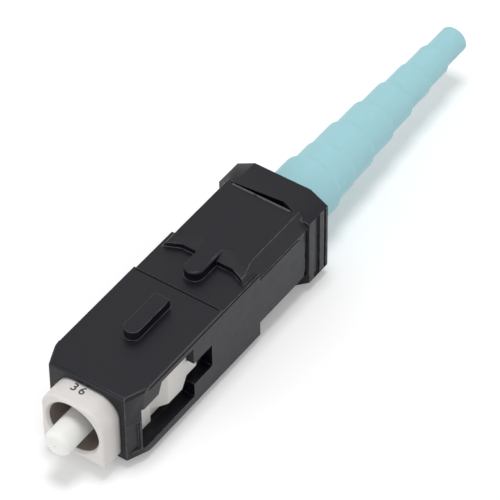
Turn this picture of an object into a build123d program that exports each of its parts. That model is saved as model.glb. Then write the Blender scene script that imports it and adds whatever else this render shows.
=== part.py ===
from build123d import *
from math import sqrt
import os

# A field-fitted SC fibre connector: a push-pull shroud over a plug frame, a floating ferrule
# with a mechanical splice behind it, and a tapered boot.
# Y runs along the ferrule, with its tip towards -Y. Z is up, on the side of the shroud's key.
# The origin is on the ferrule's axis, in the plane of the plug frame's nose. Millimetres.

# Clearances
slide_gap = 0.10        # plug frame inside the shroud, each way
turn_gap = 0.03         # cam on the splice barrel, radial
seat_gap = 0.02         # pieces that are pushed or snapped into each other, radial
float_gap = 0.15        # round the ferrule unit where it slides back
end_gap = 0.30          # between ends that must never touch

# Travel
shroud_travel = 1.6
ferrule_travel = 1.0

# Ferrule and its fibre stub
ferrule_diameter = 2.499
ferrule_length = 10.5
ferrule_reach = 2.35
glue_groove_length = 0.6
glue_groove_depth = 0.2
tip_bevel_length = 0.45
tip_bevel_depth = 0.32
fibre_diameter = 0.125
capillary_play = 0.001
funnel_length = 0.8
funnel_diameter = 0.9
fibre_tail = 4.5

# Plug frame
nose_width = 6.2
nose_height = 5.9
nose_corner = 1.9
nose_edge = 0.25
mouth_diameter = 5.4
mouth_length = 0.25
chamber_diameter = 5.0
chamber_depth = 4.5
web_thickness = 0.7
web_opening = 3.9
frame_bore = 4.8
frame_length = 18.9
shoulder_length = 6.3
neck_width = 5.5
neck_length = 6.3
latch_width = 7.5
latch_height = 3.8
latch_length = 3.6
latch_ramp = 1.65
latch_tail = 0.65
rib_height = 1.6
rib_length = 2.3
rib_lead = 0.3
lug_width = 2.0
lug_length = 1.0
lug_rise = 0.30
lug_start = 12.5
snap_length = 1.2
snap_height = 1.6
snap_reach = 2.95
snap_setback = 3.4

# Ferrule holder and splice
flange_diameter = 4.6
flange_length = 1.4
flange_flats = 3.9
barrel_diameter = 3.3
splice_barrel_diameter = 2.9
splice_bore = 2.1
holder_end_wall = 0.8
splice_parting = 0.03
channel_diameter = 0.16
splice_funnel_length = 1.2
splice_funnel_diameter = 0.9
ridge_width = 0.6
ridge_inset = 0.3

# Spring
wire_diameter = 0.36
spring_length = 6.0
spring_turns = 6

# Cam
cam_length = 3.2
cam_flats = 3.6
relief_diameter = 1.0
relief_offset = 1.2

# Rear body, guide tube and crimp tube
seat_thickness = 0.8
plug_wall = 0.36
barrel_end = 34.0
rear_barrel_diameter = 4.4
rear_barrel_bore = 3.2
ring_rise = 0.15
ring_length = 0.6
ring_stations = (31.0, 32.6)
tube_diameter = 1.6
tube_bore = 1.0
tube_end = 31.0
crimp_diameter = 2.6
crimp_start = 29.0
crimp_end = 34.5
crimp_bore = 1.1
crimp_lip = 0.25

# Shroud
shroud_width = 9.0
shroud_height = 7.4
shroud_setback = 2.1
corner_width = 0.72
corner_length = 1.7
front_edge = 0.35
top_end = 14.75
deep_end = 20.0
step_depth = 0.25
seam_start = 14.5
seam_length = 0.12
seam_depth = 0.08
seam_end = 4.2
rail_start = 4.5
rail_height = 0.45
rail_inset = 0.05
key_width = 1.54
key_height = 0.9
key_start = 7.7
key_end = 12.6
window_start = 3.4
window_ramp = 1.3
window_step = 5.75
window_step_slope = 0.45
window_end = 10.6
window_slot_end = 13.15
window_floor = -2.92
window_front_top = 1.65
window_top = 2.7
window_slot_floor = -1.5
window_slot_top = 0.95
pocket_top = 0.45
pillar_thickness = 0.85
grip_start = 18.85
grip_corner_start = 18.0
grip_flat = 5.2
grip_lip = 0.5
grip_ramp = 1.15
grip_top = 4.4
grip_top_width = 7.15
grip_width = 8.9
grip_facet_foot = 2.85
grip_floor = -2.9
grip_floor_width = 7.2
grip_floor_corner = -2.3
panel_top = 2.72
panel_floor = -2.25
panel_end = 26.55
panel_corner = 0.85
throat_depth = 0.2
tongue_width = 1.85
tongue_start = 16.15
tongue_end = 21.5
tongue_edge = 0.22
collar_nose = 26.65
collar_nose_width = 6.7
collar_start = 27.1
collar_end = 29.95
collar_width = 9.3
collar_height = 8.9
collar_corner_width = 1.8
collar_corner_height = 1.0
collar_edge = 0.18
slot_start = 26.8
slot_width = 6.3
slot_depth = 0.6
slot_narrow = 0.08
slot_wide = 0.55
slot_wide_place = 1.9
band_start = 27.8
band_length = 0.85
band_depth = 0.2
ring_band_start = 29.3
ring_band_length = 0.25
collar_bore = 6.9

# Boot
boot_start = 28.8
boot_length = 28.2
boot_base_diameter = 6.5
boot_base_length = 1.6
boot_neck_diameter = 5.9
boot_neck_start = 31.0
boot_slope = 0.4
boot_rings = ((34.7, 5.24), (37.3, 4.98), (40.6, 4.48), (44.1, 3.92), (47.5, 3.42), (50.8, 3.10), (54.0, 2.66))
cord_bore = 1.2
boot_chamber_length = 2.1
boot_throat_length = 1.8

# Places that follow from the sizes above
flange_front = chamber_depth + web_thickness
ferrule_back = ferrule_length - ferrule_reach
spring_front = flange_front + flange_length
spring_seat = spring_front + spring_length
chamber_start = spring_seat + seat_thickness
cam_start = chamber_start + 0.4
cam_end = cam_start + cam_length
holder_end = cam_end + ferrule_travel
splice_start = ferrule_back + seat_gap
splice_end = holder_end - holder_end_wall - seat_gap
cam_chamber_end = cam_end + ferrule_travel + end_gap
cavity_width = nose_width + 2 * slide_gap
cavity_height = nose_height + 2 * slide_gap
cavity_corner = nose_corner + slide_gap
cavity_end = frame_length + end_gap
snap_start = frame_length - snap_setback
rear_bore = rear_barrel_diameter + 2 * float_gap
collar_bore_start = boot_start - shroud_travel - end_gap
boot_end = boot_start + boot_length
barrel_socket_end = barrel_end + end_gap
boot_chamber_end = barrel_socket_end + boot_chamber_length


def turned(profile):
    """A solid of revolution about the ferrule's axis, from (radius, y) points."""
    return revolve(make_face(Polyline(*profile, close=True)), Axis.Y)


def rod(diameter, start, end):
    """A plain cylinder on the ferrule's axis."""
    radius = diameter / 2
    return turned([(0, start), (radius, start), (radius, end), (0, end)])


def block(x, y, z):
    """A box from its (low, high) spans."""
    size = [span[1] - span[0] for span in (x, y, z)]
    middle = [sum(span) / 2 for span in (x, y, z)]
    return Pos(*middle) * Box(*size)


def along_y(section, start, end):
    """A bar of a constant (x, z) section, between two places along the axis."""
    face = make_face(Polyline(*[(x, start, z) for x, z in section], close=True))
    return extrude(face, end - start, dir=(0, 1, 0))


def along_x(outline, start, end):
    """A plate of a (y, z) outline, between two places across the width."""
    face = make_face(Polyline(*[(start, y, z) for y, z in outline], close=True))
    return extrude(face, end - start, dir=(1, 0, 0))


def along_z(plan, low, high):
    """A plate of an (x, y) plan, between two heights."""
    face = make_face(Polyline(*[(x, y, low) for x, y in plan], close=True))
    return extrude(face, high - low, dir=(0, 0, 1))


def both_sides(shape):
    """The shape and its mirror image across the middle plane."""
    return [shape, mirror(shape, about=Plane.YZ)]


def plug_bar(width, height, corner, start, end):
    """A bar along the axis whose two edges on the key's side are rounded."""
    bar = block((-width / 2, width / 2), (start, end), (-height / 2, height / 2))
    return fillet(bar.edges().filter_by(Axis.Y).group_by(Axis.Z)[-1], corner)


def octagon_section(width, height, corner_x, corner_z):
    """A rectangle with its four corners cut off."""
    x, z = width / 2, height / 2
    quarter = [(x - corner_x, z), (x, z - corner_z)]
    right = quarter + [(a, -b) for a, b in reversed(quarter)]
    return right + [(-a, -b) for a, b in right]


def make_ferrule():
    """Ceramic ferrule: bevelled tip, a groove for the glue in the flange and a funnel at the back."""
    radius = ferrule_diameter / 2
    groove = radius - glue_groove_depth
    groove_end = flange_front + glue_groove_length
    bore = fibre_diameter / 2 + capillary_play
    tip = -ferrule_reach
    return turned([
        (bore, tip),
        (radius - tip_bevel_depth, tip),
        (radius, tip + tip_bevel_length),
        (radius, flange_front),
        (groove, flange_front),
        (groove, groove_end),
        (radius, groove_end),
        (radius, ferrule_back),
        (funnel_diameter / 2, ferrule_back),
        (bore, ferrule_back - funnel_length),
    ])


def make_fibre_stub():
    """Glass fibre from the polished tip to the cleaved end inside the splice."""
    return rod(fibre_diameter, -ferrule_reach, ferrule_back + fibre_tail)


def make_ferrule_holder():
    """Barrel that carries the ferrule in its flange and the splice halves behind it."""
    flange = rod(flange_diameter, flange_front, spring_front)
    half = flange_flats / 2
    reach = flange_diameter
    flange &= block((-half, half), (flange_front, spring_front), (-reach, reach))
    front = rod(barrel_diameter, spring_front, cam_start - turn_gap)
    rear = rod(splice_barrel_diameter, cam_start - turn_gap, holder_end)
    holder = flange + front + rear
    holder -= rod(ferrule_diameter + 2 * seat_gap, flange_front, ferrule_back)
    holder -= rod(splice_bore, ferrule_back, holder_end - holder_end_wall)
    holder -= rod(tube_diameter + 2 * seat_gap, holder_end - holder_end_wall, holder_end)
    slot = ridge_width / 2 + seat_gap
    holder -= block((-slot, slot), (cam_start, cam_end), (0, splice_barrel_diameter))
    return holder


def splice_half(side):
    """Half of the splice, above (1) or below (-1) the parting plane, with the fibre's channel."""
    diameter = splice_bore - 2 * seat_gap
    half = rod(diameter, splice_start, splice_end)
    near, far = splice_parting / 2, diameter
    half &= block((-far, far), (splice_start, splice_end), sorted((side * near, side * far)))
    half -= rod(channel_diameter, splice_start, splice_end)
    wide, narrow = splice_funnel_diameter / 2, channel_diameter / 2
    funnel_start = splice_end - splice_funnel_length
    half -= turned([(0, funnel_start), (narrow, funnel_start), (wide, splice_end), (0, splice_end)])
    return half


def make_splice_lower():
    """Lower splice half."""
    return splice_half(-1)


def make_splice_upper():
    """Upper splice half, with the ridge that the cam presses down."""
    ridge = rod(splice_barrel_diameter - 2 * seat_gap, cam_start + ridge_inset, cam_end - ridge_inset)
    half_width = ridge_width / 2
    low = splice_bore / 4
    ridge &= block((-half_width, half_width), (cam_start, cam_end), (low, splice_barrel_diameter))
    return splice_half(1) + ridge


def make_cam_ring():
    """Octagonal ring that locks the splice, with a relief that frees the ridge a quarter turn on."""
    flat_corner = cam_flats / (2 + sqrt(2))
    ring = along_y(octagon_section(cam_flats, cam_flats, flat_corner, flat_corner), cam_start, cam_end)
    ring -= rod(splice_barrel_diameter + 2 * turn_gap, cam_start, cam_end)
    ring -= Pos(relief_offset, 0, 0) * rod(relief_diameter, cam_start, cam_end)
    return ring


def make_coil_spring():
    """Compression spring round the holder, with a flattened turn at each end."""
    radius = (barrel_diameter + wire_diameter) / 2 + float_gap
    start = spring_front + wire_diameter / 2
    rise = spring_length - wire_diameter
    path = Helix(rise / spring_turns, rise, radius, center=(0, start, 0), direction=(0, 1, 0))
    profile = Plane(path @ 0, z_dir=path % 0) * Circle(wire_diameter / 2)
    return sweep(profile, path)


def make_rear_body():
    """Sleeve snapped into the plug frame: it backs the spring and carries the boot."""
    plug = frame_bore - 2 * seat_gap
    body = rod(plug, spring_seat, frame_length)
    body += rod(rear_barrel_diameter, frame_length, barrel_end)
    for station in ring_stations:
        body += rod(rear_barrel_diameter + 2 * ring_rise, station, station + ring_length)
    low, high = snap_start, snap_start + snap_length
    inner = plug / 2 - plug_wall
    outline = [(inner, low), (plug / 2, low), (snap_reach, high), (inner, high)]
    for tooth in both_sides(along_z(outline, -snap_height / 2, snap_height / 2)):
        body += tooth
    body -= rod(barrel_diameter + 2 * float_gap, spring_seat, chamber_start)
    body -= rod(plug - 2 * plug_wall, chamber_start, cam_chamber_end)
    body -= rod(rear_barrel_bore, cam_chamber_end, barrel_end)
    return body


def make_guide_tube():
    """Thin tube that leads the fibre into the splice."""
    start = holder_end - holder_end_wall + seat_gap
    return rod(tube_diameter, start, tube_end) - rod(tube_bore, start, tube_end)


def make_crimp_tube():
    """Metal tube crimped over the guide tube's end and the fibre's buffer."""
    over, grip = tube_diameter / 2 + seat_gap, crimp_bore / 2
    outer = crimp_diameter / 2
    step = tube_end + seat_gap
    return turned([
        (over, crimp_start),
        (outer, crimp_start),
        (outer, crimp_end - crimp_lip),
        (outer - crimp_lip, crimp_end),
        (grip + crimp_lip, crimp_end),
        (grip, crimp_end - crimp_lip),
        (grip, step),
        (over, step),
    ])


def make_inner_housing():
    """Plug frame: the nose round the ferrule, latching blocks on both sides and a snap-in rear."""
    frame = plug_bar(nose_width, nose_height, nose_corner, 0, frame_length)
    frame = fillet(frame.edges().group_by(Axis.Y)[0], nose_edge)
    side = nose_width / 2
    floor = neck_width / 2
    neck = block((floor, side + 1), (shoulder_length, shoulder_length + neck_length), (-nose_height, nose_height))
    for cut in both_sides(neck):
        frame -= cut
    latch = latch_width / 2
    latch_end = shoulder_length + latch_length
    outline = [(floor, shoulder_length), (latch, shoulder_length + latch_ramp), (latch, latch_end), (floor, latch_end)]
    high = latch_height / 2
    latch_block = along_z(outline, -high, high)
    tail_end = latch_end + latch_tail
    tail = along_x([(latch_end, -high), (tail_end, -rib_height / 2), (tail_end, high), (latch_end, high)], floor, latch)
    rib_end = latch_end + rib_length
    outline = [(floor, latch_end), (latch, latch_end), (latch, rib_end - rib_lead), (latch - rib_lead, rib_end),
               (floor, rib_end)]
    rib = along_z(outline, -rib_height / 2, rib_height / 2)
    for piece in both_sides(latch_block) + both_sides(tail) + both_sides(rib):
        frame += piece
    reach = nose_height / 2 + lug_rise
    frame += block((-lug_width / 2, lug_width / 2), (lug_start, lug_start + lug_length), (-reach, reach))
    mouth, chamber = mouth_diameter / 2, chamber_diameter / 2
    frame -= turned([(0, 0), (mouth, 0), (chamber, mouth_length), (chamber, chamber_depth), (0, chamber_depth)])
    frame -= rod(web_opening, chamber_depth, flange_front)
    frame -= rod(frame_bore, flange_front, frame_length)
    snap = snap_height / 2 + seat_gap
    snap_span = (snap_start - seat_gap, snap_start + snap_length + seat_gap)
    for cut in both_sides(block((frame_bore / 4, side + 1), snap_span, (-snap, snap))):
        frame -= cut
    return frame


def shroud_front():
    """The deep front of the shroud, with corners cut in plan, the step behind the key and the key."""
    half, low, high = shroud_width / 2, -shroud_height / 2, shroud_height / 2
    front = shroud_setback
    corner_x, corner_y = half - corner_width, front + corner_length
    plan = [(-corner_x, front), (corner_x, front), (half, corner_y), (half, deep_end), (-half, deep_end), (-half, corner_y)]
    body = along_z(plan, low, high)
    rim = [e for e in body.edges() if abs(abs(e.center().Z) - high) < 0.001 and e.center().Y < corner_y - 0.01]
    body = fillet(rim, front_edge)
    body -= block((-half - 1, half + 1), (top_end, deep_end), (high - step_depth, high + 1))
    body -= block((-seam_end, seam_end), (seam_start, seam_start + seam_length), (high - seam_depth, high + 1))
    for cut in both_sides(block((half - rail_inset, half + 1), (rail_start, deep_end), (high - rail_height, high + 1))):
        body -= cut
    radius = key_width / 2
    key = Pos(0, key_start + radius, high) * extrude(Circle(radius), key_height)
    key += block((-radius, radius), (key_start + radius, key_end), (high, high + key_height))
    return body + key


def shroud_grip():
    """The raised rear of the shroud: faceted section, ramped front, tongue and side panels."""
    section = [
        (grip_top_width / 2, grip_top),
        (grip_width / 2, grip_facet_foot),
        (grip_width / 2, grip_floor_corner),
        (grip_floor_width / 2, grip_floor),
    ]
    section += [(-x, z) for x, z in reversed(section)]
    grip = along_y(section, grip_corner_start, collar_start)
    reach = grip_width
    flat = grip_flat / 2
    plan = [(-grip_width / 2, grip_corner_start), (-flat, grip_start), (flat, grip_start),
            (grip_width / 2, grip_corner_start), (grip_width / 2, collar_start), (-grip_width / 2, collar_start)]
    grip &= along_z(plan, -reach, reach)
    lip = shroud_height / 2 - step_depth + grip_lip
    ramp = [(grip_corner_start, lip), (grip_start, lip), (grip_start + grip_ramp, grip_top),
            (grip_start + grip_ramp, reach), (grip_corner_start, reach)]
    grip -= along_x(ramp, -reach, reach)
    radius = tongue_width / 2
    foot = shroud_height / 2 - 2 * step_depth
    tongue = block((-radius, radius), (tongue_start + radius, tongue_end - radius), (foot, grip_top))
    tongue += Pos(0, tongue_start + radius, foot) * extrude(Circle(radius), grip_top - foot)
    tongue = fillet(tongue.faces().sort_by(Axis.Z)[-1].edges().filter_by(
        lambda e: e.center().Y < tongue_end - radius - 0.01), tongue_edge)
    side = grip_width / 2
    throat = block((side - throat_depth, reach), (panel_end, collar_start), (grip_floor_corner, grip_facet_foot))
    for cut in both_sides(throat):
        grip -= cut
    outline = [(grip_start, panel_floor), (panel_end - panel_corner, panel_floor),
               (panel_end, panel_floor + panel_corner), (panel_end, panel_top - panel_corner),
               (panel_end - panel_corner, panel_top), (grip_start, panel_top)]
    panel = along_x(outline, side - throat_depth, shroud_width / 2)
    for piece in [tongue] + both_sides(panel):
        grip += piece
    return grip


def shroud_collar():
    """The octagonal collar behind the grip, with sunk bands on each side and its front drawn to a nose."""
    section = octagon_section(collar_width, collar_height, collar_corner_width, collar_corner_height)
    collar = along_y(section, collar_nose, collar_end)
    collar = fillet(collar.edges().group_by(Axis.Y)[-1], collar_edge)
    half, nose = collar_width / 2, collar_nose_width / 2
    plan = [(nose, collar_nose), (half, collar_start), (half, collar_end)]
    plan += [(-x, y) for x, y in reversed(plan)]
    collar &= along_z(plan, -collar_height, collar_height)
    high = collar_height / 2 - collar_corner_height
    for place, length in ((band_start, band_length), (ring_band_start, ring_band_length)):
        for cut in both_sides(block((half - band_depth, half + 1), (place, place + length), (-high, high))):
            collar -= cut
    return collar


def make_outer_shroud():
    """The black push-pull shroud, one moulding: front, grip and collar, hollow for the plug frame."""
    shroud = shroud_front() + shroud_grip() + shroud_collar()
    top = collar_height / 2
    end = slot_width / 2
    slot = [(-end, slot_start), (end, slot_start), (slot_wide_place, slot_start + slot_wide),
            (-end, slot_start + slot_narrow)]
    shroud -= along_z(slot, top - slot_depth, top + 1)
    shroud -= plug_bar(cavity_width, cavity_height, cavity_corner, 0, cavity_end)
    shroud -= rod(rear_bore, cavity_end, collar_end)
    shroud -= rod(collar_bore, collar_bore_start, collar_end)
    lug_half = lug_width / 2 + slide_gap
    lug_top = nose_height / 2 + lug_rise + 0.5 * slide_gap
    lug_room = (lug_start - shroud_travel - slide_gap, lug_start + lug_length + slide_gap)
    shroud -= block((-lug_half, lug_half), lug_room, (-lug_top, lug_top))
    inside, outside = cavity_width / 2 - cavity_corner, shroud_width
    window = [
        (window_start, window_floor), (window_end, window_floor),
        (window_end, window_slot_floor), (window_slot_end, window_slot_floor),
        (window_slot_end, window_slot_top), (window_end, window_slot_top),
        (window_end, window_top), (window_step + window_step_slope, window_top),
        (window_step, window_front_top), (window_start, window_front_top),
    ]
    side = shroud_width / 2
    ramp = along_z([(inside, window_start), (side, window_start), (cavity_width / 2, window_start + window_ramp),
                    (inside, window_start + window_ramp)], window_floor, window_front_top)
    opening = along_x(window, inside, outside) - ramp
    pillar = cavity_width / 2 + pillar_thickness
    pocket = along_z([(side - corner_width, shroud_setback), (outside, shroud_setback), (outside, window_start),
                      (pillar, window_start)], window_floor, pocket_top)
    latch_room = latch_height / 2 + slide_gap
    relief = block((inside, latch_width / 2 + slide_gap),
                   (shoulder_length - shroud_travel - slide_gap, window_step + window_step_slope),
                   (window_front_top - slide_gap, latch_room))
    for cut in both_sides(opening) + both_sides(pocket) + both_sides(relief):
        shroud -= cut
    return shroud


def boot_outline():
    """The boot's outside, as (radius, y) points: base, neck and rings that each step down to the next."""
    base, radius = boot_base_diameter / 2, boot_neck_diameter / 2
    points = [(base, boot_start), (base, boot_start + boot_base_length), (radius, boot_neck_start)]
    for place, diameter in boot_rings:
        points.append((radius, place - boot_slope))
        radius = diameter / 2
        points.append((radius, place))
    return points + [(radius, boot_end)]


def make_boot():
    """Flexible tapered boot, pushed over the rear body's barrel."""
    socket = rear_barrel_diameter / 2 + seat_gap
    chamber = rear_barrel_bore / 2
    throat = cord_bore / 2
    inside = [
        (throat, boot_end),
        (throat, boot_chamber_end + boot_throat_length),
        (chamber, boot_chamber_end),
        (chamber, barrel_socket_end),
        (socket, barrel_socket_end),
        (socket, boot_start),
    ]
    boot = turned(boot_outline() + inside)
    groove = rear_barrel_diameter + 2 * ring_rise + 2 * seat_gap
    for station in ring_stations:
        boot -= rod(groove, station - seat_gap, station + ring_length + seat_gap)
    return boot


makers = {
    "outer_shroud": make_outer_shroud,
    "inner_housing": make_inner_housing,
    "ferrule": make_ferrule,
    "fibre_stub": make_fibre_stub,
    "ferrule_holder": make_ferrule_holder,
    "splice_lower": make_splice_lower,
    "splice_upper": make_splice_upper,
    "cam_ring": make_cam_ring,
    "coil_spring": make_coil_spring,
    "rear_body": make_rear_body,
    "guide_tube": make_guide_tube,
    "crimp_tube": make_crimp_tube,
    "boot": make_boot,
}

os.makedirs("parts", exist_ok=True)
for name, make in makers.items():
    export_step(make(), f"parts/{name}.step")
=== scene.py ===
"""Looks of a field-fitted SC fibre connector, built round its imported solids.

The object's frame is the solids' own: the origin is on the ferrule's axis in the plane of the plug
frame's nose, -Y is the front, +Y the boot, +Z the side of the key. Sizes are in metres.
"""

import math

import bmesh
import bpy
from bpy.props import FloatProperty, FloatVectorProperty, IntProperty, PointerProperty, StringProperty
from mathutils import Matrix, Vector


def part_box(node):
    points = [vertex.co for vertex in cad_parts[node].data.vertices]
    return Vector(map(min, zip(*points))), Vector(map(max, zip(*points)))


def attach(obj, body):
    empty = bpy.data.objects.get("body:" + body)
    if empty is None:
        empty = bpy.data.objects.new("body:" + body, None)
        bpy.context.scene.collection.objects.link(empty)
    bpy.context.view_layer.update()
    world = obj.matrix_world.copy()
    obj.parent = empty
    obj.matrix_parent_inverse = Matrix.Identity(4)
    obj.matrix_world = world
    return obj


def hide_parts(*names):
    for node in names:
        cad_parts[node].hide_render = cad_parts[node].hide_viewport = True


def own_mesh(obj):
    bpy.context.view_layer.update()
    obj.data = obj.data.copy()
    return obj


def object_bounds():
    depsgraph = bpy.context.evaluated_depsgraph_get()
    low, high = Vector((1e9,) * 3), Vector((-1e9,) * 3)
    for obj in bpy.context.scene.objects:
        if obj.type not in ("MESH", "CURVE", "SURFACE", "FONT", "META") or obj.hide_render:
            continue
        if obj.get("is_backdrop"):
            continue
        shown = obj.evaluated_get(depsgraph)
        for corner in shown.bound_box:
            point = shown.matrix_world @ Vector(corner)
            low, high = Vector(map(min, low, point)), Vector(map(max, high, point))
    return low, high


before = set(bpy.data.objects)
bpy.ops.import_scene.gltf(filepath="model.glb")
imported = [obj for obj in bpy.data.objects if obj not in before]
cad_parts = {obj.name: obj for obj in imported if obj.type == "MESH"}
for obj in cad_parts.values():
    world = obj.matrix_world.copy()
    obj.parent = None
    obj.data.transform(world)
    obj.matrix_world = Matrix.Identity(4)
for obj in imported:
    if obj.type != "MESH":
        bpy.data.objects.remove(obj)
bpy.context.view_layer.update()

bl_info = {
    "name": "SC Fibre Connector",
    "version": (1, 0, 0),
    "blender": (4, 5, 0),
    "location": "3D View > Sidebar > Connector",
    "description": "Builds the finished pieces of a field-fitted SC fibre connector",
    "category": "Object",
}

mm = 0.001
axis = Vector((0, 1, 0))
merge_distance = 0.0005 * mm


def colour_property(name, description, default):
    """A colour that a user would change, in linear values."""
    return FloatVectorProperty(
        name=name, description=description, default=default, size=3, min=0, max=1, subtype="COLOR"
    )


def length_property(name, description, default):
    """A length that a user would change."""
    return FloatProperty(
        name=name, description=description, default=default, min=0, precision=5, unit="LENGTH"
    )


class ConnectorColours(bpy.types.PropertyGroup):
    """Colours of the mouldings, the ceramic, the glass and the metals."""

    shell: colour_property("Shell", "Black moulding of the push-pull shroud", (0.0022, 0.0023, 0.0060))
    # Lighter edge colour of the shroud: rubbed wear, and painted highlights along the edges and over the bead
    # before the slot.
    shell_edge_wear_and_highlight: colour_property("Shell edge", "Rubbed edges of the shroud", (0.070, 0.071, 0.077))
    plug: colour_property("Plug frame", "Off-white moulding of the plug frame", (0.765, 0.74, 0.715))
    ceramic: colour_property("Ceramic", "Ground ceramic of the ferrule", (0.70, 0.68, 0.65))
    boot: colour_property("Boot", "Aqua rubber of the boot", (0.375, 0.670, 0.730))
    holder: colour_property("Holder", "Moulding of the ferrule holder", (0.80, 0.79, 0.74))
    splice: colour_property("Splice", "Clear-cast moulding of the splice halves", (0.85, 0.86, 0.84))
    cam: colour_property("Cam", "Dark moulding of the cam", (0.05, 0.05, 0.055))
    rear: colour_property("Rear body", "Moulding of the rear body", (0.70, 0.69, 0.65))
    tube: colour_property("Guide tube", "Extruded guide tube", (0.88, 0.88, 0.86))
    steel: colour_property("Spring steel", "Drawn wire of the spring", (0.55, 0.55, 0.56))
    crimp: colour_property("Crimp metal", "Drawn tube of the crimp", (0.72, 0.72, 0.74))
    # Painted shade: a dark brown wall colour that stands for the shade deep inside the nose's bore.
    chamber: colour_property("Chamber", "Shaded wall inside the nose", (0.26, 0.215, 0.190))
    ink: colour_property("Ink", "Printed figures on the nose", (0.06, 0.055, 0.05))
    floor: colour_property("Floor", "Pale floor", (0.93, 0.93, 0.93))


class ConnectorSizes(bpy.types.PropertyGroup):
    """Sizes of the finished pieces that the solids leave sharp or plain."""

    shell_round: length_property("Shell rounding", "Radius on the shroud's moulded edges", 0.05 * mm)
    slot_lip: length_property("Slot lip", "Radius of the bead before the collar's slot", 0.11 * mm)
    pin_mark: length_property("Pin mark", "Thickness of the ejector pins' marks on the underside", 0.05 * mm)
    plug_round: length_property("Plug rounding", "Radius on the plug frame's moulded edges", 0.05 * mm)
    small_round: length_property("Small rounding", "Radius on the inner pieces' edges", 0.03 * mm)
    tip_round: length_property("Tip rounding", "Radius where the ferrule's tip meets its sides", 0.55 * mm)
    tip_dome: length_property("Tip dome", "Radius of the polished dome on the ferrule's end", 6.0 * mm)
    boot_round: length_property("Boot rounding", "Radius on the edges of the boot's rings", 0.10 * mm)
    figure_height: length_property("Figure height", "Height of the printed figures", 0.82 * mm)
    ink_thickness: length_property("Ink thickness", "Thickness of the printed ink", 0.012 * mm)
    around: IntProperty(name="Facets", description="Facets round a turned piece", default=96, min=24, max=192)
    figures: StringProperty(name="Figures", description="Plain number printed on the nose", default="36")


class ConnectorSettings(bpy.types.PropertyGroup):
    """Everything that a user would change."""

    colours: PointerProperty(type=ConnectorColours)
    sizes: PointerProperty(type=ConnectorSizes)


def settings():
    """The scene's own settings."""
    return bpy.context.scene.connector


def node_group(name, inputs, outputs):
    """A shader node group with named sockets, and its input and output nodes."""
    group = bpy.data.node_groups.new(name, "ShaderNodeTree")
    for socket, kind, value in inputs:
        made = group.interface.new_socket(name=socket, in_out="INPUT", socket_type=kind)
        if value is not None:
            made.default_value = value
    for socket, kind in outputs:
        group.interface.new_socket(name=socket, in_out="OUTPUT", socket_type=kind)
    return group, group.nodes.new("NodeGroupInput"), group.nodes.new("NodeGroupOutput")


def noise(tree, vector, scale, detail, roughness=0.5):
    """A noise node on a vector socket, with a linked or a plain scale."""
    node = tree.nodes.new("ShaderNodeTexNoise")
    node.inputs["Detail"].default_value = detail
    node.inputs["Roughness"].default_value = roughness
    tree.links.new(vector, node.inputs["Vector"])
    if isinstance(scale, bpy.types.NodeSocket):
        tree.links.new(scale, node.inputs["Scale"])
    else:
        node.inputs["Scale"].default_value = scale
    return node.outputs["Fac"]


def maths(tree, operation, *values):
    """A maths node on sockets or plain numbers."""
    node = tree.nodes.new("ShaderNodeMath")
    node.operation = operation
    for socket, value in zip(node.inputs, values):
        if isinstance(value, bpy.types.NodeSocket):
            tree.links.new(value, socket)
        else:
            socket.default_value = value
    return node.outputs["Value"]


def spread(tree, value, low, high):
    """How far a value is from a low to a high one, smoothly and clamped from 0 to 1."""
    node = tree.nodes.new("ShaderNodeMapRange")
    node.interpolation_type = "SMOOTHSTEP"
    for socket, given in (("Value", value), ("From Min", low), ("From Max", high)):
        tree.links.new(given, node.inputs[socket])
    return node.outputs["Result"]


def shaded(tree, colour, factor):
    """A colour made lighter or darker by a factor round 1."""
    node = tree.nodes.new("ShaderNodeVectorMath")
    node.operation = "SCALE"
    tree.links.new(colour, node.inputs[0])
    tree.links.new(factor, node.inputs["Scale"])
    return node.outputs["Vector"]


def mixed(tree, factor, first, second):
    """Two colours mixed by a factor."""
    node = tree.nodes.new("ShaderNodeMix")
    node.data_type = "RGBA"
    tree.links.new(factor, node.inputs["Factor"])
    tree.links.new(first, node.inputs["A"])
    tree.links.new(second, node.inputs["B"])
    return node.outputs["Result"]


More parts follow.
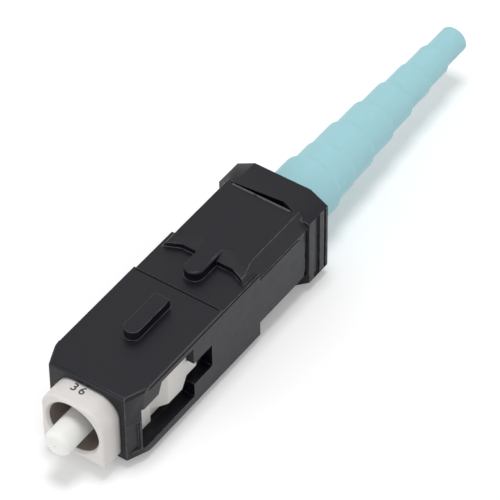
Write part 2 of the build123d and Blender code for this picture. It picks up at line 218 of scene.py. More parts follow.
def build_moulded_surface():
    """Moulded plastic: a spark-eroded grain, slow waves of shrinkage and a slight unevenness of colour."""
    group, given, out = node_group("moulded_surface", [
        ("Vector", "NodeSocketVector", None),
        ("Colour", "NodeSocketColor", (0.5, 0.5, 0.5, 1)),
        ("Unevenness", "NodeSocketFloat", 0.04),
        ("Grain Scale", "NodeSocketFloat", 9000.0),
        ("Roughness", "NodeSocketFloat", 0.5),
        ("Roughness Spread", "NodeSocketFloat", 0.08),
        ("Grain Height", "NodeSocketFloat", 1.0),
        ("Wave Height", "NodeSocketFloat", 1.0),
    ], [("Colour", "NodeSocketColor"), ("Roughness", "NodeSocketFloat"), ("Height", "NodeSocketFloat")])
    vector = given.outputs["Vector"]
    fine = noise(group, vector, given.outputs["Grain Scale"], 3.0, 0.6)
    cells = group.nodes.new("ShaderNodeTexVoronoi")
    cell_share = 0.7
    group.links.new(vector, cells.inputs["Vector"])
    group.links.new(maths(group, "MULTIPLY", given.outputs["Grain Scale"], cell_share), cells.inputs["Scale"])
    wave_scale, cloud_scale = 260.0, 900.0
    slow = noise(group, vector, wave_scale, 2.0)
    cloud = noise(group, vector, cloud_scale, 4.0, 0.6)
    fine_weight, cell_weight = 0.6, 0.4
    grain = maths(group, "ADD", maths(group, "MULTIPLY", fine, fine_weight),
                  maths(group, "MULTIPLY", cells.outputs["Distance"], cell_weight))
    height = maths(group, "ADD", maths(group, "MULTIPLY", grain, given.outputs["Grain Height"]),
                   maths(group, "MULTIPLY", slow, given.outputs["Wave Height"]))
    uneven = maths(group, "MULTIPLY", maths(group, "SUBTRACT", cloud, 0.5), given.outputs["Unevenness"])
    speck = maths(group, "MULTIPLY", maths(group, "SUBTRACT", fine, 0.5), given.outputs["Unevenness"])
    factor = maths(group, "ADD", 1.0, maths(group, "MULTIPLY", maths(group, "ADD", uneven, speck), 2.0))
    shift = maths(group, "MULTIPLY", maths(group, "SUBTRACT", cloud, 0.5), given.outputs["Roughness Spread"])
    group.links.new(shaded(group, given.outputs["Colour"], factor), out.inputs["Colour"])
    group.links.new(maths(group, "ADD", given.outputs["Roughness"], maths(group, "MULTIPLY", shift, 2.0)),
                    out.inputs["Roughness"])
    group.links.new(height, out.inputs["Height"])
    return group


def build_rubbed_edge():
    """Edges made lighter and smoother, in broken patches: wear that handling has rubbed, and on the shroud
    also painted highlights.
    """
    group, given, out = node_group("rubbed_edge_and_highlight", [
        ("Vector", "NodeSocketVector", None),
        ("Edge", "NodeSocketFloat", 0.0),
        ("Colour", "NodeSocketColor", (0.5, 0.5, 0.5, 1)),
        ("Edge Colour", "NodeSocketColor", (0.6, 0.6, 0.6, 1)),
        ("Roughness", "NodeSocketFloat", 0.5),
        ("Edge Roughness", "NodeSocketFloat", 0.35),
        ("Cover", "NodeSocketFloat", 0.5),
    ], [("Colour", "NodeSocketColor"), ("Roughness", "NodeSocketFloat")])
    patch_scale, softness = 1400.0, 0.15
    patches = noise(group, given.outputs["Vector"], patch_scale, 5.0, 0.7)
    bare_limit, cover_weight = 0.75, 0.5
    lowered = maths(group, "MULTIPLY", given.outputs["Cover"], cover_weight)
    limit = maths(group, "SUBTRACT", bare_limit, lowered)
    broken = spread(
        group, patches, maths(group, "SUBTRACT", limit, softness), maths(group, "ADD", limit, softness))
    mask = maths(group, "MULTIPLY", given.outputs["Edge"], broken)
    group.links.new(mixed(group, mask, given.outputs["Colour"], given.outputs["Edge Colour"]),
                    out.inputs["Colour"])
    change = maths(group, "SUBTRACT", given.outputs["Edge Roughness"], given.outputs["Roughness"])
    group.links.new(maths(group, "ADD", given.outputs["Roughness"], maths(group, "MULTIPLY", mask, change)),
                    out.inputs["Roughness"])
    return group


def build_drawn_surface():
    """Drawn or ground metal and ceramic: fine lines along or round the axis, with faint stains."""
    group, given, out = node_group("drawn_surface", [
        ("Vector", "NodeSocketVector", None),
        ("Colour", "NodeSocketColor", (0.5, 0.5, 0.5, 1)),
        ("Stain", "NodeSocketFloat", 0.06),
        ("Line Stretch", "NodeSocketVector", (1.0, 1.0, 1.0)),
        ("Line Scale", "NodeSocketFloat", 9000.0),
        ("Roughness", "NodeSocketFloat", 0.25),
        ("Roughness Spread", "NodeSocketFloat", 0.1),
    ], [("Colour", "NodeSocketColor"), ("Roughness", "NodeSocketFloat"), ("Height", "NodeSocketFloat")])
    stretch = group.nodes.new("ShaderNodeVectorMath")
    stretch.operation = "MULTIPLY"
    group.links.new(given.outputs["Vector"], stretch.inputs[0])
    group.links.new(given.outputs["Line Stretch"], stretch.inputs[1])
    stain_scale = 700.0
    lines = noise(group, stretch.outputs["Vector"], given.outputs["Line Scale"], 4.0, 0.65)
    stains = noise(group, given.outputs["Vector"], stain_scale, 4.0, 0.6)
    factor = maths(group, "ADD", 1.0, maths(group, "MULTIPLY", maths(group, "SUBTRACT", stains, 0.5),
                                            given.outputs["Stain"]))
    shift = maths(group, "MULTIPLY", maths(group, "SUBTRACT", lines, 0.5), given.outputs["Roughness Spread"])
    group.links.new(shaded(group, given.outputs["Colour"], factor), out.inputs["Colour"])
    group.links.new(maths(group, "ADD", given.outputs["Roughness"], shift), out.inputs["Roughness"])
    group.links.new(lines, out.inputs["Height"])
    return group


def shared_group(name):
    """A shared effect, built the first time that it is asked for."""
    makers = {
        "moulded_surface": build_moulded_surface,
        "rubbed_edge_and_highlight": build_rubbed_edge,
        "drawn_surface": build_drawn_surface,
    }
    return bpy.data.node_groups.get(name) or makers[name]()


def placed_group(tree, name, values):
    """A shared group placed in a material, with plain values or linked sockets."""
    node = tree.nodes.new("ShaderNodeGroup")
    node.node_tree = shared_group(name)
    for socket, value in values.items():
        if isinstance(value, bpy.types.NodeSocket):
            tree.links.new(value, node.inputs[socket])
        elif node.inputs[socket].type == "RGBA":
            node.inputs[socket].default_value = (*value, 1)
        else:
            node.inputs[socket].default_value = value
    return node


def principled(name):
    """A new material with its tree, its Principled shader and the object's own coordinates."""
    material = bpy.data.materials.new(name)
    material.use_nodes = True
    tree = material.node_tree
    shader = tree.nodes["Principled BSDF"]
    coordinates = tree.nodes.new("ShaderNodeTexCoord").outputs["Object"]
    return material, tree, shader, coordinates


def bumped(tree, shader, height, distance):
    """The shader's normal, raised by a height."""
    bump = tree.nodes.new("ShaderNodeBump")
    bump.inputs["Distance"].default_value = distance
    tree.links.new(height, bump.inputs["Height"])
    tree.links.new(bump.outputs["Normal"], shader.inputs["Normal"])


def moulded_material(name, colour, edge_colour, cover, relief, specular=0.5, sheen=0.0, **surface):
    """A moulded plastic or rubber with grain, unevenness and lighter edges: rubbed wear, and on the shroud
    also painted highlights.
    """
    material, tree, shader, coordinates = principled(name)
    base = placed_group(tree, "moulded_surface", {"Vector": coordinates, "Colour": colour, **surface})
    mark = tree.nodes.new("ShaderNodeAttribute")
    mark.attribute_name = "rounded_edge"
    worn = placed_group(tree, "rubbed_edge_and_highlight", {
        "Vector": coordinates,
        "Edge": mark.outputs["Fac"],
        "Colour": base.outputs["Colour"],
        "Edge Colour": edge_colour,
        "Roughness": base.outputs["Roughness"],
        "Edge Roughness": surface.get("Roughness", 0.5) * 0.75,
        "Cover": cover,
    })
    tree.links.new(worn.outputs["Colour"], shader.inputs["Base Color"])
    tree.links.new(worn.outputs["Roughness"], shader.inputs["Roughness"])
    shader.inputs["Specular IOR Level"].default_value = specular
    shader.inputs["Sheen Weight"].default_value = sheen
    bumped(tree, shader, base.outputs["Height"], relief)
    return material


def drawn_material(name, colour, metallic, relief, specular=0.5, **surface):
    """A drawn metal, an extruded tube or a ground ceramic."""
    material, tree, shader, coordinates = principled(name)
    base = placed_group(tree, "drawn_surface", {"Vector": coordinates, "Colour": colour, **surface})
    tree.links.new(base.outputs["Colour"], shader.inputs["Base Color"])
    tree.links.new(base.outputs["Roughness"], shader.inputs["Roughness"])
    shader.inputs["Metallic"].default_value = metallic
    shader.inputs["Specular IOR Level"].default_value = specular
    bumped(tree, shader, base.outputs["Height"], relief)
    return material


def lighter(colour, factor):
    """A colour made lighter by a factor, up to white."""
    return [min(1.0, factor * value) for value in colour]


def make_material(name):
    """The named finish, built the first time that it is asked for."""
    found = bpy.data.materials.get(name)
    if found:
        return found
    colours = settings().colours
    if name == "shell_black":
        return moulded_material(
            name, colours.shell, colours.shell_edge_wear_and_highlight, cover=0.6, relief=0.010 * mm, specular=0.30,
            Unevenness=0.10, **{"Grain Scale": 8000.0, "Roughness": 0.38, "Roughness Spread": 0.08,
                                "Grain Height": 1.0, "Wave Height": 2.0})
    if name == "plug_ivory":
        return moulded_material(
            name, colours.plug, lighter(colours.plug, 1.12), cover=0.4, relief=0.004 * mm, specular=0.45,
            Unevenness=0.02, **{"Grain Scale": 9000.0, "Roughness": 0.42, "Roughness Spread": 0.06,
                                "Grain Height": 0.8, "Wave Height": 2.0})
    # Painted shade inside the nose's bore: the plug frame's moulding made dark brown.
    if name == "chamber_painted_shade":
        return moulded_material(
            name, colours.chamber, colours.chamber, cover=0.0, relief=0.004 * mm, specular=0.3,
            Unevenness=0.05, **{"Grain Scale": 9000.0, "Roughness": 0.55, "Roughness Spread": 0.06,
                                "Grain Height": 0.8, "Wave Height": 2.0})
    if name == "boot_aqua":
        return moulded_material(
            name, colours.boot, lighter(colours.boot, 1.1), cover=0.4, relief=0.010 * mm, specular=0.35,
            sheen=0.08, Unevenness=0.035,
            **{"Grain Scale": 7000.0, "Roughness": 0.55, "Roughness Spread": 0.06,
               "Grain Height": 0.9, "Wave Height": 3.0})
    if name in ("holder_white", "splice_white", "cam_black", "rear_grey"):
        colour = {"holder_white": colours.holder, "splice_white": colours.splice,
                  "cam_black": colours.cam, "rear_grey": colours.rear}[name]
        return moulded_material(
            name, colour, lighter(colour, 1.15), cover=0.4, relief=0.005 * mm,
            Unevenness=0.03, **{"Grain Scale": 10000.0, "Roughness": 0.38, "Roughness Spread": 0.06,
                                "Grain Height": 0.6, "Wave Height": 1.5})
    if name == "ferrule_ceramic":
        return drawn_material(
            name, colours.ceramic, 0.0, 0.0008 * mm, specular=0.4, Stain=0.03, Roughness=0.20,
            **{"Line Stretch": (0.08, 1.0, 0.08), "Line Scale": 16000.0, "Roughness Spread": 0.08})
    if name == "spring_steel":
        return drawn_material(
            name, colours.steel, 1.0, 0.002 * mm, Stain=0.15, Roughness=0.24,
            **{"Line Stretch": (0.3, 1.0, 0.3), "Line Scale": 15000.0, "Roughness Spread": 0.15})
    if name == "crimp_metal":
        return drawn_material(
            name, colours.crimp, 1.0, 0.002 * mm, Stain=0.10, Roughness=0.30,
            **{"Line Stretch": (1.0, 0.05, 1.0), "Line Scale": 14000.0, "Roughness Spread": 0.15})
    if name == "tube_white":
        return drawn_material(
            name, colours.tube, 0.0, 0.002 * mm, Stain=0.04, Roughness=0.30,
            **{"Line Stretch": (1.0, 0.05, 1.0), "Line Scale": 12000.0, "Roughness Spread": 0.06})
    if name == "ink_dark":
        return moulded_material(
            name, colours.ink, colours.ink, cover=0.0, relief=0.003 * mm,
            Unevenness=0.35, **{"Grain Scale": 9000.0, "Roughness": 0.6, "Roughness Spread": 0.1,
                                "Grain Height": 1.0, "Wave Height": 0.0})
    if name == "fibre_glass":
        return glass_material(name)
    raise ValueError(f"there is no finish named {name}")


def glass_material(name):
    """Clear glass of the fibre, with faint waves."""
    material, tree, shader, coordinates = principled(name)
    shader.inputs["Transmission Weight"].default_value = 1.0
    shader.inputs["IOR"].default_value = 1.46
    shader.inputs["Roughness"].default_value = 0.02
    wave_scale = 4000.0
    waves = noise(tree, coordinates, wave_scale, 2.0)
    colour = placed_group(tree, "drawn_surface", {
        "Vector": coordinates, "Colour": (0.96, 0.98, 1.0), "Stain": 0.02, "Roughness": 0.02,
        "Roughness Spread": 0.0})
    tree.links.new(colour.outputs["Colour"], shader.inputs["Base Color"])
    bumped(tree, shader, waves, 0.0002 * mm)
    return material


def finished(mesh_builder, name, body, material, slot, *nodes, sharp=35.0):
    """An object from a bmesh, that rides on a body and stands for its CAD nodes."""
    mesh = bpy.data.meshes.new(name)
    for face in mesh_builder.faces:
        face.smooth = True
    mesh_builder.to_mesh(mesh)
    mesh_builder.free()
    mesh.set_sharp_from_angle(angle=math.radians(sharp))
    piece = bpy.data.objects.new(name, mesh)
    bpy.context.scene.collection.objects.link(piece)
    mesh.materials.append(make_material(material))
    weighted = piece.modifiers.new("even_faces", "WEIGHTED_NORMAL")
    weighted.keep_sharp = True
    weighted.weight = 80
    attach(piece, body)
    if nodes:
        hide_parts(*nodes)
    return piece


def merged_copy(node):
    """A bmesh of a CAD node's solid, its loose triangles merged and its flat faces made whole."""
    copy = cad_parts[node].data.copy()
    for layer in ("custom_normal", "sharp_face", "sharp_edge"):
        if layer in copy.attributes:
            copy.attributes.remove(copy.attributes[layer])
    builder = bmesh.new()
    builder.from_mesh(copy)
    bpy.data.meshes.remove(copy)
    bmesh.ops.remove_doubles(builder, verts=builder.verts, dist=merge_distance)
    flat_angle = math.radians(0.6)
    bmesh.ops.dissolve_limit(
        builder, angle_limit=flat_angle, verts=builder.verts, edges=builder.edges, delimit=set())
    return builder


def has_room(edge, chosen, radius):
    """Whether a rounding on an edge ends short of the middle of the edges that it meets."""
    middle, least = 0.48, 0.01
    for face in edge.link_faces:
        for corner in edge.verts:
            near = next(
                other for other in corner.link_edges if other is not edge and face in other.link_faces)
            along = edge.other_vert(corner).co - corner.co
            across = near.other_vert(corner).co - corner.co
            angle = along.angle(across, 0.0)
            if near in chosen:
                reach = radius / math.tan(max(angle, least) / 2)
                space = min(edge.calc_length(), near.calc_length())
            else:
                reach = radius / max(math.sin(angle), least)
                space = near.calc_length()
            if reach > middle * space:
                return False
    return True


def rounded(builder, radius, segments=2, least_angle=25.0):
    """Rounds the sharp edges that have room for it, and marks the new faces for the lighter edge colour:
    wear, and on the shroud also painted highlights.
    """
    mark = builder.faces.layers.float.new("rounded_edge")
    chosen = {edge for edge in builder.edges
              if len(edge.link_faces) == 2 and edge.calc_face_angle(0.0) > math.radians(least_angle)}
    cramped = {edge for edge in chosen if not has_room(edge, chosen, radius)}
    while cramped:
        chosen -= cramped
        cramped = {edge for edge in chosen if not has_room(edge, chosen, radius)}
    made = bmesh.ops.bevel(
        builder, geom=[edge for edge in builder.edges if edge in chosen], offset=radius, offset_type="OFFSET",
        segments=segments, profile=0.5, affect="EDGES", clamp_overlap=True, material=-1)
    for face in made["faces"]:
        face[mark] = 1.0


def turned(outline, around, closed=True, round_corners=0.0):
    """A bmesh turned about the ferrule's axis from (radius, place along the axis) points."""
    builder = bmesh.new()
    corners = [builder.verts.new((radius, place, 0)) for radius, place in outline]
    edges = [builder.edges.new(pair) for pair in zip(corners, corners[1:])]
    if closed:
        edges.append(builder.edges.new((corners[-1], corners[0])))
    if round_corners:
        bmesh.ops.bevel(
            builder, geom=corners, offset=round_corners, offset_type="OFFSET", segments=3, profile=0.5,
            affect="VERTICES", clamp_overlap=True, material=-1)
    bmesh.ops.spin(
        builder, geom=builder.verts[:] + builder.edges[:], cent=(0, 0, 0), axis=axis, dvec=(0, 0, 0),
        angle=2 * math.pi, steps=around, use_merge=True, use_normal_flip=False, use_duplicate=False)
    seam_distance = 0.0002 * mm
    bmesh.ops.remove_doubles(builder, verts=builder.verts, dist=seam_distance)
    bmesh.ops.recalc_face_normals(builder, faces=builder.faces)
    return builder


def cad_span(node):
    """Where a node begins and ends along the axis, and its half width."""
    low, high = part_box(node)
    return low.y, high.y, high.x


class CONNECTOR_OT_shroud(bpy.types.Operator):
    """Finish the push-pull shroud: rounded edges, a bead before the collar's slot, the pins' marks"""

    bl_idname = "connector.shroud"
    bl_label = "Shroud"

    def execute(self, context):
        sizes = settings().sizes
        shell = merged_copy("outer_shroud")
        rounded(shell, sizes.shell_round)
        mark = shell.faces.layers.float["rounded_edge"]
        bead_length, bead_middle = 5.9 * mm, Vector((0, 26.70, 4.40)) * mm
        across = Matrix.Rotation(math.radians(90), 3, "Y")
        bead = bmesh.ops.create_cone(
            shell, cap_ends=True, segments=16, radius1=sizes.slot_lip, radius2=sizes.slot_lip,
            depth=bead_length)["verts"]
        bmesh.ops.rotate(shell, verts=bead, cent=(0, 0, 0), matrix=across)
        bmesh.ops.translate(shell, verts=bead, vec=bead_middle)
        # The bead is marked for the full edge colour: a painted highlight along the lip before the collar's
        # slot.
        painted_highlight_all_over = 2.0
        for corner in bead:
            for face in corner.link_faces:
                face[mark] = painted_highlight_all_over
        front_level, grip_level = -3.7, -2.9
        pins = [((side, place, front_level), 0.55) for place in (8.0, 17.5) for side in (-2.9, 2.9)]
        pins.append(((0.0, 23.5, grip_level), 0.40))
        taper = 0.03
        for place, radius in pins:
            disc = bmesh.ops.create_cone(
                shell, cap_ends=True, segments=32, radius1=(radius - taper) * mm, radius2=radius * mm,
                depth=sizes.pin_mark)["verts"]
            bmesh.ops.translate(shell, verts=disc, vec=Vector(place) * mm)
        finished(shell, "shroud_shell", "shroud", "shell_black", "black_shell", "outer_shroud")
        return {"FINISHED"}


class CONNECTOR_OT_plug_frame(bpy.types.Operator):
    """Finish the plug frame, whose nose, latches and ribs show at the front and in the windows"""

    bl_idname = "connector.plug_frame"
    bl_label = "Plug frame"

    def execute(self, context):
        plug = merged_copy("inner_housing")
        rounded(plug, settings().sizes.plug_round)
        # Faces inside the nose's bore take the second material, a painted shade in place of the ivory.
        wall_radius = 2.6 * mm
        mouth, floor = 0.3 * mm, 5.2 * mm
        for face in plug.faces:
            middle = face.calc_center_median()
            if mouth < middle.y < floor and math.hypot(middle.x, middle.z) < wall_radius:
                face.material_index = 1
        piece = finished(plug, "plug_frame", "core", "plug_ivory", "ivory_frame", "inner_housing")
        piece.data.materials.append(make_material("chamber_painted_shade"))
        return {"FINISHED"}


class CONNECTOR_OT_figures(bpy.types.Operator):
    """Print a plain number on the plug frame's nose"""

    bl_idname = "connector.figures"
    bl_label = "Printed figures"

    def execute(self, context):
        sizes = settings().sizes
        middle = Vector((-0.42, 1.60, 2.95)) * mm
        size_per_height = 1.4
        curve = bpy.data.curves.new("nose_figures", "FONT")
        curve.body = sizes.figures
        curve.align_x = "CENTER"
        curve.align_y = "CENTER"
        curve.size = sizes.figure_height * size_per_height
        curve.space_character = 1.35
        curve.resolution_u = 4
        curve.offset = 0.02 * mm
        curve.extrude = sizes.ink_thickness / 2
        text = bpy.data.objects.new("nose_figures_curve", curve)
        print_mesh = bpy.data.meshes.new_from_object(text)
        bpy.data.objects.remove(text)
        builder = bmesh.new()
        builder.from_mesh(print_mesh)
        bpy.data.meshes.remove(print_mesh)
        bmesh.ops.remove_doubles(builder, verts=builder.verts, dist=merge_distance)
        bmesh.ops.translate(builder, verts=builder.verts, vec=middle)
        finished(builder, "nose_figures", "core", "ink_dark", None)
        return {"FINISHED"}


class CONNECTOR_OT_ferrule(bpy.types.Operator):
    """Turn the ceramic ferrule with its rounded tip and polished dome, and the glass fibre in it"""

    bl_idname = "connector.ferrule"
    bl_label = "Ferrule and fibre"

    def execute(self, context):
        sizes = settings().sizes
        tip, back, radius = cad_span("ferrule")
        flange_front = 5.2 * mm
        groove_end = 5.8 * mm
        groove = radius - 0.2 * mm
        flat = radius - sizes.tip_round
        bore = 0.0635 * mm
        funnel, funnel_start = 0.45 * mm, back - 0.8 * mm
        rise = sizes.tip_dome - math.sqrt(sizes.tip_dome ** 2 - flat ** 2)
        end_points = [(bore, tip)]
        for share in (0.25, 0.5, 0.75, 1.0):
            out = bore + share * (flat - bore)
            end_points.append((out, tip + rise * (out / flat) ** 2))
        shoulder = tip + rise + sizes.tip_round
        lead = []
        steps = 8
        for step in range(1, steps):
            angle = math.radians(90 * step / steps)
            out = flat + sizes.tip_round * math.sin(angle)
            lead.append((out, shoulder - sizes.tip_round * math.cos(angle)))
        outline = end_points + lead + [
            (radius, shoulder), (radius, flange_front), (groove, flange_front), (groove, groove_end),
            (radius, groove_end), (radius, back), (funnel, back), (bore, funnel_start)]
        ferrule = turned(outline, sizes.around)
        finished(
            ferrule, "ferrule_body", "ferrule_unit", "ferrule_ceramic", "ferrule_ceramic", "ferrule",
            sharp=50.0)
        start, end, half = cad_span("fibre_stub")
        glass = turned([(0, start), (half, start), (half, end), (0, end)], around=24, closed=False)
        finished(glass, "fibre_glass", "ferrule_unit", "fibre_glass", "fibre_glass", "fibre_stub")
        return {"FINISHED"}


class CONNECTOR_OT_splice(bpy.types.Operator):
    """Finish the holder, the splice halves in it and the cam that locks them"""

    bl_idname = "connector.splice"
    bl_label = "Holder, splice and cam"

    def execute(self, context):
        small = settings().sizes.small_round
        for node, name, body, material, slot in (
                ("ferrule_holder", "holder_barrel", "ferrule_unit", "holder_white", "holder_plastic"),
                ("splice_lower", "splice_half_lower", "ferrule_unit", "splice_white", "splice_plastic"),
                ("splice_upper", "splice_half_upper", "ferrule_unit", "splice_white", "splice_plastic"),
                ("cam_ring", "cam_lock", "cam", "cam_black", "cam_plastic")):
            builder = merged_copy(node)
            rounded(builder, small, segments=1)
            finished(builder, name, body, material, slot, node)
        return {"FINISHED"}


class CONNECTOR_OT_spring(bpy.types.Operator):
    """Wind the coil spring, with a closed turn at each end"""

    bl_idname = "connector.spring"
    bl_label = "Spring"

    def execute(self, context):
        start, end, outside = cad_span("coil_spring")
        wire = 0.36 * mm
        coil = 1.98 * mm
        closed_pitch = wire * 1.04
        turns = 5
        steps = 36
        free = (end - start) - wire - 2 * closed_pitch
        builder = bmesh.new()
        bmesh.ops.create_circle(builder, cap_ends=False, radius=wire / 2, segments=12)
        bmesh.ops.translate(builder, verts=builder.verts, vec=(coil, start + wire / 2, 0))
        first = builder.verts[:] + builder.edges[:]
        bmesh.ops.contextual_create(builder, geom=builder.edges[:])
        geometry = first
        for pitch, count in ((closed_pitch, 1), (free / turns, turns), (closed_pitch, 1)):
            made = bmesh.ops.spin(
                builder, geom=geometry, cent=(0, 0, 0), axis=axis, dvec=(0, pitch / steps, 0),
                angle=2 * math.pi * count, steps=steps * count, use_merge=False, use_normal_flip=False,
                use_duplicate=False)
            geometry = [item for item in made["geom_last"] if not isinstance(item, bmesh.types.BMFace)]
        last = [item for item in geometry if isinstance(item, bmesh.types.BMEdge)]
        bmesh.ops.contextual_create(builder, geom=last)
        bmesh.ops.remove_doubles(builder, verts=builder.verts, dist=merge_distance)
        bmesh.ops.recalc_face_normals(builder, faces=builder.faces)
        spring = finished(
            builder, "spring_coil", "core", "spring_steel", "spring_steel", "coil_spring", sharp=60.0)
        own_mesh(spring)
        return {"FINISHED"}


class CONNECTOR_OT_rear(bpy.types.Operator):
    """Finish the rear body, the guide tube and the crimped tube"""

    bl_idname = "connector.rear"
    bl_label = "Rear body and tubes"

    def execute(self, context):
        small = settings().sizes.small_round
        for node, name, body, material, slot in (
                ("rear_body", "rear_sleeve", "core", "rear_grey", "rear_plastic"),
                ("guide_tube", "guide_tube_drawn", "ferrule_unit", "tube_white", "tube_plastic"),
                ("crimp_tube", "crimp_sleeve", "ferrule_unit", "crimp_metal", "crimp_metal")):
            builder = merged_copy(node)
            rounded(builder, small, segments=1)
            finished(builder, name, body, material, slot, node)
        return {"FINISHED"}


class CONNECTOR_OT_boot(bpy.types.Operator):
    """Turn the boot with its seven rings, each of which steps down to the next"""

    bl_idname = "connector.boot"
    bl_label = "Boot"

    def execute(self, context):
        sizes = settings().sizes
        start, end, base = cad_span("boot")
        base_length, neck_start = 1.6 * mm, 31.0 * mm
        slope = 0.4 * mm
        radius = 2.95 * mm
        outline = [(base, start), (base, start + base_length), (radius, neck_start)]
        rings = (
            (34.7, 2.62), (37.3, 2.49), (40.6, 2.24), (44.1, 1.96), (47.5, 1.71), (50.8, 1.55), (54.0, 1.33))
        for place, ring in rings:
            outline.append((radius, place * mm - slope))
            radius = ring * mm
            outline.append((radius, place * mm))
        outline.append((radius, end))
        throat, chamber, socket = 0.6 * mm, 1.6 * mm, 2.22 * mm
        barrel_end, chamber_end, throat_start = 34.3 * mm, 36.4 * mm, 38.2 * mm
        outline += [
            (throat, end), (throat, throat_start), (chamber, chamber_end), (chamber, barrel_end),
            (socket, barrel_end), (socket, start)]
        boot = turned(outline, sizes.around, round_corners=sizes.boot_round)
        finished(boot, "boot_sleeve", "core", "boot_aqua", "boot_rubber", "boot", sharp=60.0)
        return {"FINISHED"}


class CONNECTOR_OT_stage(bpy.types.Operator):
    """Set the pale floor, the soft lights and the camera"""

    bl_idname = "connector.stage"
    bl_label = "Floor, light and camera"

    def execute(self, context):
        floor_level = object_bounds()[0].z
        make_floor(context, floor_level)
        make_world(context)
        make_lamp(context, "overhead_softbox", place=(0.0, 0.03, 0.45), size=0.14, watts=0.82)
        make_lamp(context, "front_softbox", place=(-0.10, -0.36, 0.16), size=0.24, watts=0.41)
        make_lamp(context, "side_softbox", place=(0.31, 0.25, 0.13), size=0.24, watts=0.13)
        make_camera(context)
        return {"FINISHED"}


def make_floor(context, level):
    """A wide pale floor that keeps the shadow and is seen only from above."""
    builder = bmesh.new()
    bmesh.ops.create_grid(builder, x_segments=1, y_segments=1, size=1.5)
    bmesh.ops.translate(builder, verts=builder.verts, vec=(0, 0, level))
    mesh = bpy.data.meshes.new("floor")
    builder.to_mesh(mesh)
    builder.free()
    floor = bpy.data.objects.new("floor", mesh)
    context.scene.collection.objects.link(floor)
    material = bpy.data.materials.new("floor_pale")
    material.use_nodes = True
    tree = material.node_tree
    tree.nodes.clear()
    matt = tree.nodes.new("ShaderNodeBsdfDiffuse")
    matt.inputs["Color"].default_value = (*settings().colours.floor, 1)
    glow = tree.nodes.new("ShaderNodeEmission")
    glow.inputs["Color"].default_value = (1, 1, 1, 1)
    path = tree.nodes.new("ShaderNodeLightPath")
    seen = maths(tree, "MAXIMUM", path.outputs["Is Camera Ray"], path.outputs["Is Glossy Ray"])
    seen = maths(tree, "MAXIMUM", seen, path.outputs["Is Transmission Ray"])
    strength = 0.20
    tree.links.new(maths(tree, "MULTIPLY", seen, strength), glow.inputs["Strength"])
    lit = tree.nodes.new("ShaderNodeAddShader")
    tree.links.new(matt.outputs["BSDF"], lit.inputs[0])
    tree.links.new(glow.outputs["Emission"], lit.inputs[1])
    clear = tree.nodes.new("ShaderNodeBsdfTransparent")
    side = tree.nodes.new("ShaderNodeNewGeometry")
    chosen = tree.nodes.new("ShaderNodeMixShader")
    tree.links.new(side.outputs["Backfacing"], chosen.inputs["Fac"])
    tree.links.new(lit.outputs["Shader"], chosen.inputs[1])
    tree.links.new(clear.outputs["BSDF"], chosen.inputs[2])
    out = tree.nodes.new("ShaderNodeOutputMaterial")
    tree.links.new(chosen.outputs["Shader"], out.inputs["Surface"])
    mesh.materials.append(material)
    floor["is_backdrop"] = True


def make_world(context):
    """White where the camera, gloss and glass look, and a plain soft light everywhere else."""
    world = bpy.data.worlds.new("studio")
    context.scene.world = world
    world.use_nodes = True
    tree = world.node_tree
    back = tree.nodes["Background"]
    back.inputs["Color"].default_value = (1, 1, 1, 1)
    path = tree.nodes.new("ShaderNodeLightPath")
    seen = maths(tree, "MAXIMUM", path.outputs["Is Camera Ray"], path.outputs["Is Glossy Ray"])
    seen = maths(tree, "MAXIMUM", seen, path.outputs["Is Transmission Ray"])
    ambient = 0.46
    strength = maths(tree, "ADD", ambient, maths(tree, "MULTIPLY", seen, 1 - ambient))
    tree.links.new(strength, back.inputs["Strength"])


def make_lamp(context, name, place, size, watts):
    """A square softbox that faces the middle of the connector."""
    lamp = bpy.data.lights.new(name, "AREA")
    lamp.shape = "SQUARE"
    lamp.size = size
    lamp.energy = watts
    holder = bpy.data.objects.new(name, lamp)
    context.scene.collection.objects.link(holder)
    middle = Vector((0, 28 * mm, 0))
    holder.location = place
    holder.rotation_euler = (Vector(place) - middle).to_track_quat("Z", "Y").to_euler()


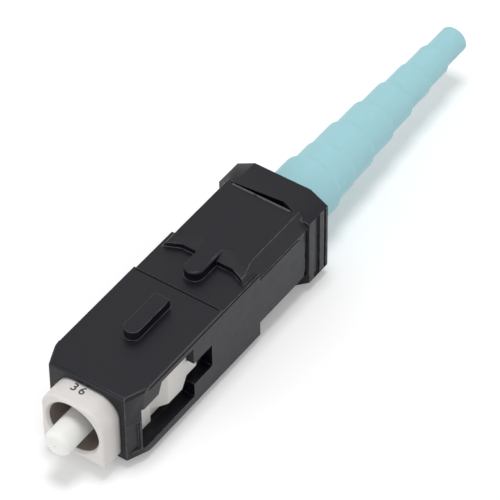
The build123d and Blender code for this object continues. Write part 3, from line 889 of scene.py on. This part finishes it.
def make_camera(context):
    """The camera at the photograph's angle: 35 degrees round from the front and 45 degrees up."""
    turn, height, roll = (math.radians(angle) for angle in (35.308, 45.024, -0.65))
    place = Vector((121.157, -146.082, 209.448)) * mm
    back = Vector((math.sin(turn) * math.cos(height), -math.cos(turn) * math.cos(height), math.sin(height)))
    right = Vector((math.cos(turn), math.sin(turn), 0))
    up = back.cross(right)
    rolled_right = right * math.cos(roll) + up * math.sin(roll)
    rolled_up = up * math.cos(roll) - right * math.sin(roll)
    data = bpy.data.cameras.new("camera")
    data.sensor_width = 36.0
    data.sensor_fit = "HORIZONTAL"
    data.lens = 252.777
    data.clip_start = 0.01
    data.clip_end = 10.0
    camera = bpy.data.objects.new("camera", data)
    context.scene.collection.objects.link(camera)
    facing = Matrix((rolled_right, rolled_up, back)).transposed().to_4x4()
    camera.matrix_world = Matrix.Translation(place) @ facing
    context.scene.camera = camera
    context.scene.view_settings.view_transform = "Standard"


operators = (
    CONNECTOR_OT_shroud,
    CONNECTOR_OT_plug_frame,
    CONNECTOR_OT_figures,
    CONNECTOR_OT_ferrule,
    CONNECTOR_OT_splice,
    CONNECTOR_OT_spring,
    CONNECTOR_OT_rear,
    CONNECTOR_OT_boot,
    CONNECTOR_OT_stage,
)


class CONNECTOR_PT_panel(bpy.types.Panel):
    """Sizes, colours and pieces of the connector"""

    bl_label = "SC Fibre Connector"
    bl_space_type = "VIEW_3D"
    bl_region_type = "UI"
    bl_category = "Connector"

    def draw(self, context):
        chosen = context.scene.connector
        for group in (chosen.sizes, chosen.colours):
            column = self.layout.column(align=True)
            for name in group.__annotations__:
                column.prop(group, name)
        for operator in operators:
            self.layout.operator(operator.bl_idname)


classes = (ConnectorColours, ConnectorSizes, ConnectorSettings, *operators, CONNECTOR_PT_panel)


def register():
    """Registers the settings, the operators and the panel."""
    for item in classes:
        bpy.utils.register_class(item)
    bpy.types.Scene.connector = PointerProperty(type=ConnectorSettings)


def unregister():
    """Takes them away again."""
    del bpy.types.Scene.connector
    for item in reversed(classes):
        bpy.utils.unregister_class(item)


def main():
    """Builds every piece and the stage."""
    register()
    for operator in operators:
        group, action = operator.bl_idname.split(".")
        getattr(getattr(bpy.ops, group), action)()


if __name__ == "__main__":
    main()
